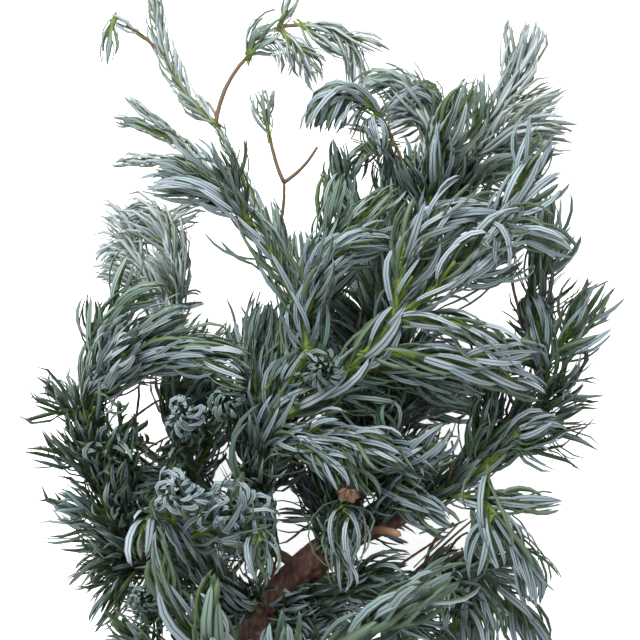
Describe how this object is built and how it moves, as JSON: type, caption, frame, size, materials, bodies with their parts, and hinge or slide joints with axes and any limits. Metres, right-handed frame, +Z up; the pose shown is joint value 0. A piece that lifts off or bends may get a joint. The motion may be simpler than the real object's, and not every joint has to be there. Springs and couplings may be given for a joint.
{
  "type": "cut conifer bough",
  "caption": "Leafy bough cut from a false cypress with soft blue-green needles, a woody stem with a flat cut end and arching sprays, lying down.",
  "frame": {"origin": "middle of the ground under the lying bough", "axes": "+Z up, +Y from the cut end of the stem towards the furthest tips, +X to the right as seen from above with the cut end nearest"},
  "size_m": [0.0674, 0.094, 0.0401],
  "materials": {
    "bark": "dark red-brown bark",
    "green_stem": "young green bark",
    "needles": "blue-white bands on green needles"
  },
  "bodies": {
    "root": {"back_left_bough": "green_stem", "back_right_bough": "green_stem", "centre_bough": "green_stem", "centre_shoot": "needles", "crest": "needles", "curl": "needles", "dark_upright": "needles", "drooping_spray": "needles", "fan": "needles", "fan_behind": "needles", "front_left_bough": "green_stem", "front_low_bough": "green_stem", "leader": "bark", "left_arching_spray": "needles", "left_back": "needles", "left_back_outer": "needles", "left_bough": "bark", "left_brush": "needles", "left_dark": "needles", "left_middle_bough": "green_stem", "left_plume": "needles", "left_top_brush": "needles", "low_blue": "needles", "low_corner": "needles", "low_right_bough": "green_stem", "middle_brush": "needles", "near_brush": "needles", "near_left": "needles", "near_middle": "needles", "near_right": "needles", "near_rosette": "needles", "right_arch": "needles", "right_back": "needles", "right_bough": "bark", "right_crown": "needles", "right_edge": "needles", "right_edge_bough": "green_stem", "right_fan": "needles", "right_low_arch": "needles", "right_plume": "needles", "right_shoot": "needles", "right_side": "needles", "right_top": "needles", "right_upright": "needles", "rosette": "needles", "short_spray": "needles", "stem": "bark", "tassel": "needles", "thin_twig": "green_stem", "top_blue": "needles", "top_bough": "green_stem", "top_clump": "needles", "top_hanging": "needles", "top_left_spray": "needles", "top_tuft": "needles", "under_left": "needles", "under_middle": "needles", "under_right": "needles", "upright": "needles"}
  },
  "joints": []
}
